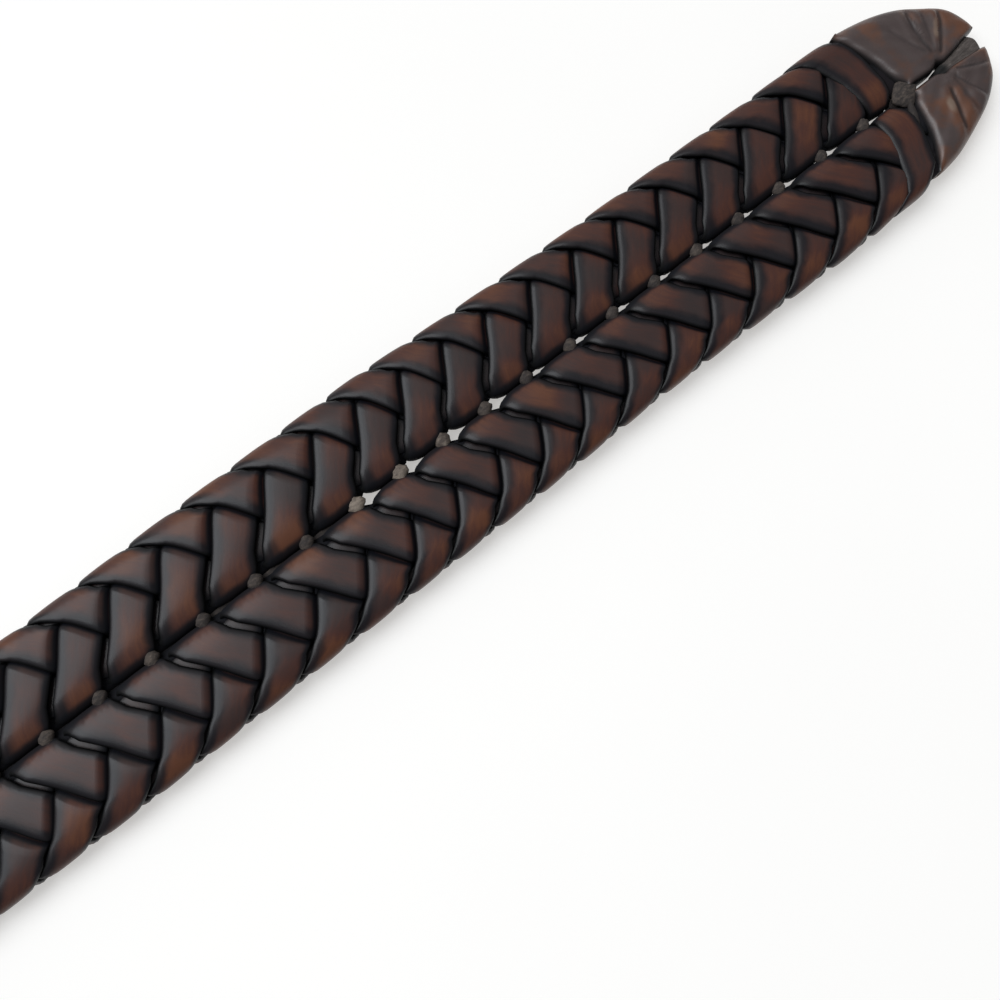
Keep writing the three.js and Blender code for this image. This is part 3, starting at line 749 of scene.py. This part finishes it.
def stitches_mesh(name):
    """Plain stitches along both edges of the chape and across its mouth."""
    half_long, half_wide, thickness = 1.15, 0.36, 0.8
    along = np.arange(MOUTH_X - 6.4, SLOPE_X + 1, -STITCH_PITCH)
    places = [(x, side * STITCH_LINE, half_long, half_wide) for x in along for side in (1, -1)]
    mouth = np.arange(-3.5 * STITCH_PITCH, 3.5 * STITCH_PITCH + 0.05, STITCH_PITCH)
    places += [(MOUTH_X - MOUTH_LINE, y, half_wide, half_long) for y in mouth]
    points, faces = [], []
    for x, y, half_length, half_width in places:
        height = TOP_WALL_Z + WALL_HALF
        new_points, new_faces = lozenge(x, y, height, half_length, half_width, thickness, 7, 0.0)
        faces += [[v + sum(map(len, points)) for v in face] for face in new_faces]
        points.append(new_points)
    return add_mesh(name, np.concatenate(points) * MM, faces)


class Value:
    """A socket of a finish. Arithmetic on it adds Math nodes."""

    def __init__(self, finish, socket):
        self.finish, self.socket = finish, socket

    def math(self, operation, *values):
        return self.finish.node("ShaderNodeMath", {"operation": operation}, dict(enumerate(values)))

    def __add__(self, other):
        return self.math("ADD", self, other)

    __radd__ = __add__

    def __mul__(self, other):
        return self.math("MULTIPLY", self, other)

    __rmul__ = __mul__

    def __sub__(self, other):
        return self.math("SUBTRACT", self, other)

    def __rsub__(self, other):
        return self.math("SUBTRACT", other, self)

    def size(self):
        return self.math("ABSOLUTE", self)

    def between(self, low, high):
        """0 below low, 1 above high, and smooth between them."""
        settings = {"interpolation_type": "SMOOTHSTEP"}
        inputs = {"Value": self, "From Min": low, "From Max": high}
        return self.finish.node("ShaderNodeMapRange", settings, inputs)


class Finish:
    """A procedural material with one Principled shader."""

    def __init__(self, name, **constants):
        self.material = bpy.data.materials.new(name)
        self.material.use_nodes = True
        self.tree = self.material.node_tree
        self.shader = self.tree.nodes["Principled BSDF"]
        for key, value in constants.items():
            self.shader.inputs[key.replace("_", " ")].default_value = value

    def node(self, kind, settings=(), inputs=(), output=0):
        """A node with its settings made first, then its sockets given values or links."""
        made = self.tree.nodes.new(kind)
        for key, value in dict(settings).items():
            if key == "stops":
                ramp = made.color_ramp
                while len(ramp.elements) < len(value):
                    ramp.elements.new(0.5)
                for element, (place, colour) in zip(ramp.elements, value):
                    element.position = place
                    element.color = (*colour, 1)
            else:
                setattr(made, key, value)
        for key, value in dict(inputs).items():
            self.feed(made.inputs[key], value)
        return Value(self, made.outputs[output])

    def feed(self, socket, value):
        if isinstance(value, Value):
            self.tree.links.new(value.socket, socket)
        elif socket.type == "RGBA":
            socket.default_value = (*value, 1)
        else:
            socket.default_value = value

    def attribute(self, name, output="Fac"):
        return self.node("ShaderNodeAttribute", {"attribute_name": name}, output=output)

    def scaled(self, vector, scale):
        return self.node("ShaderNodeVectorMath", {"operation": "MULTIPLY"}, {0: vector, 1: scale})

    def noise(self, vector, scale=1.0, detail=2.0, roughness=0.5):
        inputs = {"Vector": vector, "Scale": scale, "Detail": detail, "Roughness": roughness}
        return self.node("ShaderNodeTexNoise", inputs=inputs, output="Fac")

    def mix(self, factor, a, b):
        return self.node("ShaderNodeMix", {"data_type": "RGBA"}, {0: factor, 6: a, 7: b}, 2)

    def ramp(self, factor, *stops):
        return self.node("ShaderNodeValToRGB", {"stops": stops}, {"Fac": factor}, "Color")

    def bump(self, height, strength, distance):
        inputs = {"Height": height, "Strength": strength, "Distance": distance}
        return self.node("ShaderNodeBump", {}, inputs, "Normal")

    def place(self):
        return self.node("ShaderNodeTexCoord", output="Object")

    def finish(self, colour, roughness, normal=None):
        self.feed(self.shader.inputs["Base Color"], colour)
        self.feed(self.shader.inputs["Roughness"], roughness)
        if normal:
            self.feed(self.shader.inputs["Normal"], normal)
        return self.material


def strap_leather():
    """Red-brown straps with black-dyed, burnished edges, and painted shade where each dives under another,
    where it lies under another, at the tube's inner side, under the last strap, and along its edge lip in the
    gaps between straps.
    """
    f = Finish("strap_leather", Coat_Roughness=0.24, Specular_IOR_Level=0.20)
    lay = f.attribute("lay", "Vector")
    across = f.attribute("across")
    cover = f.attribute("cover")
    inner = f.attribute("inner")
    tone = f.noise(f.scaled(lay, (0.11, 0.02, 1.0)), 1.0, 1.0)
    streaks = f.noise(f.scaled(lay, (0.30, 1.7, 1.0)), 1.0, 3.0, 0.55)
    blotches = f.noise(f.scaled(lay, (0.30, 0.45, 1.0)), 1.0, 2.0)
    grain = f.noise(f.scaled(lay, (4.0, 4.0, 1.0)), 1.0, 3.0, 0.7)
    # Painted shade: the parts of a strap that lie under another strap are darkened and dulled.
    under = (0 - cover).between(0.3, 0.9)
    warmth = tone * 1.6 + streaks * 0.40 + grain * 0.15 + f.attribute("wrap") * 0.17 - under * 0.35 - 0.66
    brown = f.ramp(
        warmth,
        (0.10, (0.034, 0.023, 0.022)),
        (0.36, (0.046, 0.024, 0.021)),
        (0.56, (0.068, 0.026, 0.019)),
        (0.82, (0.112, 0.041, 0.021)),
    )
    # Black dye along the strap's rear and front edges. Painted shade at the edge lip for the dark gaps
    # between straps, where the strap dives under another, and at the tube's inner side and under the last
    # strap.
    rear = (0 - across + (blotches - 0.5) * 0.5 + (streaks - 0.5) * 0.15).between(0.24, 0.74)
    front = (across + (blotches - 0.5) * 0.3).between(0.46, 0.82)
    lip_shade = (across.size() + (blotches - 0.5) * 0.12).between(0.80, 0.97)
    dive_shade = (1 - cover.size() + (blotches - 0.5) * 0.2).between(0.25, 0.85)
    fold = (inner + (blotches - 0.5) * 0.4).between(0.35, 0.95)
    open_face = (1 - rear * 0.93) * (1 - front * 0.95) * (1 - dive_shade * 0.95) * (1 - fold * 0.95)
    dye_and_shade = 1 - open_face * (1 - under * 0.5)
    # The near-black is the edges' black dye and, everywhere else it is mixed in, painted shade; its faint
    # blue tint is a painted reflection of the cool window light.
    dyed_and_shaded = f.mix(dye_and_shade, brown, (0.0058, 0.0064, 0.009))
    colour = f.mix(lip_shade, dyed_and_shaded, (0.0015, 0.0016, 0.002))
    roughness = 0.40 + grain * 0.08 + streaks * 0.08 - dye_and_shade * 0.07 + fold * 0.45
    height = grain * 0.45 + streaks * 0.55
    f.feed(f.shader.inputs["Coat Weight"], (0.17 - fold * 0.165) * (1 - lip_shade * 0.7))
    return f.finish(colour, roughness, f.bump(height, 0.30, 0.0001))


def lace_leather():
    """Dull grey-brown lace with short fibres, paler where it is worn, and darker with painted shade on the
    lace below the crossings and on the tail.
    """
    f = Finish("lace_leather")
    fibres = f.noise(f.scaled(f.place(), (900, 1500, 900)), 1.0, 4.0, 0.7)
    colour = f.ramp(
        fibres * 0.75 + f.attribute("worn") * 0.35 - 0.05,
        (0.3, (0.026, 0.020, 0.018)),
        (0.5, (0.085, 0.066, 0.054)),
        (0.75, (0.25, 0.205, 0.165)),
    )
    return f.finish(colour, 0.75 + fibres * 0.2, f.bump(fibres, 0.6, 0.0003))


def cap_leather(name, warmth):
    """Brown-grey pleated leather, orange-brown where the pleats and the rim are rubbed, with painted shade in
    the pleat valleys and in the crevices along its rear edge and middle.
    """
    f = Finish(name, Coat_Roughness=0.35)
    place = f.place()
    grain = f.noise(f.scaled(place, (2200, 2200, 2200)), 1.0, 3.0, 0.65)
    cloud = f.noise(place, 130.0, 3.0)
    patch = f.noise(place, 240.0, 2.0)
    warm = (cloud * 1.3 + f.attribute("near_rim") * 0.22 + warmth).between(0.50, 0.78)
    base = f.mix(warm, (0.064, 0.045, 0.042), (0.120, 0.048, 0.025))
    rubbed = f.mix((f.attribute("rub") * patch * 2).between(0.30, 0.95), base, (0.19, 0.13, 0.095))
    # Painted shade: the pleat valleys and crevices go near black.
    crease = (f.attribute("crease") + (cloud - 0.5) * 0.4).between(0.25, 0.9)
    colour = f.mix(crease, rubbed, (0.010, 0.009, 0.010))
    f.feed(f.shader.inputs["Coat Weight"], 0.2)
    return f.finish(colour, 0.38 + grain * 0.16, f.bump(grain * 0.5 + cloud * 0.5, 0.35, 0.00015))


def inner_leather():
    """Raw grey-brown leather with fibres along the belt, going black with painted shade towards the eye."""
    f = Finish("inner_leather")
    fibres = f.noise(f.scaled(f.place(), (500, 2400, 2400)), 1.0, 4.0, 0.7)
    grey = f.ramp(
        fibres,
        (0.3, (0.034, 0.027, 0.024)),
        (0.55, (0.090, 0.074, 0.066)),
        (0.75, (0.18, 0.155, 0.140)),
    )
    colour = f.mix(f.attribute("crease").between(0.2, 0.8), grey, (0.006, 0.006, 0.006))
    return f.finish(colour, 0.8 + fibres * 0.15, f.bump(fibres, 0.7, 0.0003))


def chape_leather():
    """Dark red-brown leather with blackened edges."""
    f = Finish("chape_leather", Coat_Roughness=0.3)
    place = f.place()
    grain = f.noise(place, 1800.0, 3.0, 0.65)
    cloud = f.noise(f.scaled(place, (90, 45, 90)), 1.0, 3.0)
    brown = f.ramp(
        cloud,
        (0.3, (0.030, 0.014, 0.011)),
        (0.6, (0.070, 0.025, 0.016)),
        (0.8, (0.11, 0.036, 0.019)),
    )
    colour = f.mix((f.attribute("crease") + cloud * 0.3).between(0.25, 0.9), brown, (0.009, 0.008, 0.009))
    f.feed(f.shader.inputs["Coat Weight"], 0.1)
    return f.finish(colour, 0.38 + grain * 0.14, f.bump(grain, 0.3, 0.00012))


def stitch_thread():
    """Dark waxed thread."""
    f = Finish("stitch_thread")
    twist = f.noise(f.scaled(f.place(), (2500, 900, 2500)), 1.0, 3.0, 0.7)
    colour = f.ramp(twist, (0.3, (0.012, 0.009, 0.008)), (0.7, (0.050, 0.036, 0.030)))
    return f.finish(colour, 0.7 + twist * 0.2, f.bump(twist, 0.5, 0.0002))


def buckle_metal():
    """Darkened steel, finely brushed and a little worn."""
    f = Finish("buckle_metal", Metallic=1.0)
    place = f.place()
    brush = f.noise(f.scaled(place, (300, 300, 4000)), 1.0, 3.0, 0.7)
    wear = f.noise(place, 220.0, 3.0)
    colour = f.ramp(wear, (0.3, (0.17, 0.165, 0.16)), (0.7, (0.31, 0.30, 0.285)))
    return f.finish(colour, 0.26 + brush * 0.16 + wear * 0.08, f.bump(brush, 0.12, 0.00005))


def floor_paint():
    """White table with a soft light of its own, which keeps the belt's shadow light."""
    f = Finish("floor_paint", Emission_Strength=0.46)
    mottle = f.noise(f.place(), 9.0, 3.0)
    f.feed(f.shader.inputs["Emission Color"], (1.0, 0.985, 0.96))
    colour = f.mix(mottle, (0.60, 0.59, 0.575), (0.64, 0.63, 0.615))
    return f.finish(colour, 0.55 + mottle * 0.1)


strap_finish = strap_leather()
lace_finish = lace_leather()
cap_finishes = {1: cap_leather("left_cap_leather", -0.19), -1: cap_leather("right_cap_leather", -0.07)}
inner_finish = inner_leather()
chape_finish = chape_leather()
metal_finish = buckle_metal()
thread_finish = stitch_thread()


def dress(piece, finish):
    """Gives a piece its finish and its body."""
    piece.data.materials.clear()
    piece.data.materials.append(finish)
    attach(piece, "root")
    return piece


# Braid and tip
SIDES = ((1, "left"), (-1, "right"))
for side, side_name in SIDES:
    for rising, run in ((True, "rising"), (False, "falling")):
        for number in range(3):
            strap = strap_mesh(f"{side_name}_{run}_strap_{number + 1}", side, rising, number)
            dress(strap, strap_finish)
            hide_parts("braid")

for side, side_name in SIDES:
    core = dress(core_mesh(f"{side_name}_core", side), strap_finish)
    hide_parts("braid")
    band = dress(band_mesh(f"{side_name}_last_strap", side), strap_finish)
    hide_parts("braid")
    cap = dress(cap_mesh(f"{side_name}_pleated_cap", side), cap_finishes[side])
    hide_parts(f"{side_name}_tip_cap")
lace = dress(lace_mesh("lace"), lace_finish)
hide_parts("braid")
inner_layer = dress(inner_layer_mesh("folded_inner_layer"), inner_finish)
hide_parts("tip_inner_layer")

# Chape and buckle
chape = dress(chape_mesh("folded_chape"), chape_finish)
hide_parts("chape")
stitches = dress(stitches_mesh("chape_stitches"), thread_finish)
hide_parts("chape")
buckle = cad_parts["buckle"]
buckle.data.materials.clear()
buckle.data.materials.append(metal_finish)

# Floor, light and camera, in metres
FLOOR_HALF = 12.0
FLOOR_DROP = 0.0001
LIT_PLACE = (0.36, 0.0, 0.0)
LIGHT_DISTANCE = 1.2
corners = [(x * FLOOR_HALF, y * FLOOR_HALF, -FLOOR_DROP) for x, y in ((-1, -1), (1, -1), (1, 1), (-1, 1))]
floor = add_mesh("floor", corners, [(0, 1, 2, 3)])
floor.data.materials.append(floor_paint())

world = bpy.data.worlds.new("studio")
bpy.context.scene.world = world
world.use_nodes = True
background = world.node_tree.nodes["Background"]
background.inputs["Color"].default_value = (0.93, 0.96, 1.0, 1)
background.inputs["Strength"].default_value = 0.20


def add_light(name, kind, energy, direction, **settings):
    """A soft light that shines from a direction towards the belt's tip end."""
    lamp = bpy.data.lights.new(name, kind)
    lamp.energy = energy
    for key, value in settings.items():
        setattr(lamp, key, value)
    light = bpy.data.objects.new(name, lamp)
    bpy.context.scene.collection.objects.link(light)
    away = Vector(direction).normalized()
    light.location = Vector(LIT_PLACE) + away * LIGHT_DISTANCE
    light.rotation_mode = "QUATERNION"
    light.rotation_quaternion = away.to_track_quat("Z", "Y")


add_light("window_light", "SUN", 2.3, (-0.40, 0.45, 0.85), angle=math.radians(46), color=(0.92, 0.96, 1.0))
add_light("fill_light", "SUN", 0.5, (0.1, 0.9, 0.8), angle=math.radians(70), color=(1.0, 0.97, 0.94))

# Camera above the belt's front, turned so that the belt runs up to the right with parallel edges
CAMERA_PLACE = Vector((LAST_CROSSING - 133.74, -32.75, 172.51))
CAMERA_RIGHT = Vector((0.7839, -0.6189, 0.0496))
CAMERA_UP = Vector((0.603, 0.7779, 0.1767))
lens = bpy.data.cameras.new("camera")
lens.sensor_width = 36
lens.lens = 36
lens.clip_start = 0.005
camera = bpy.data.objects.new("camera", lens)
bpy.context.scene.collection.objects.link(camera)
turned = Matrix((CAMERA_RIGHT, CAMERA_UP, CAMERA_RIGHT.cross(CAMERA_UP))).transposed().to_4x4()
camera.matrix_world = Matrix.Translation(CAMERA_PLACE * MM) @ turned
bpy.context.scene.camera = camera
bpy.context.scene.view_settings.view_transform = "Standard"
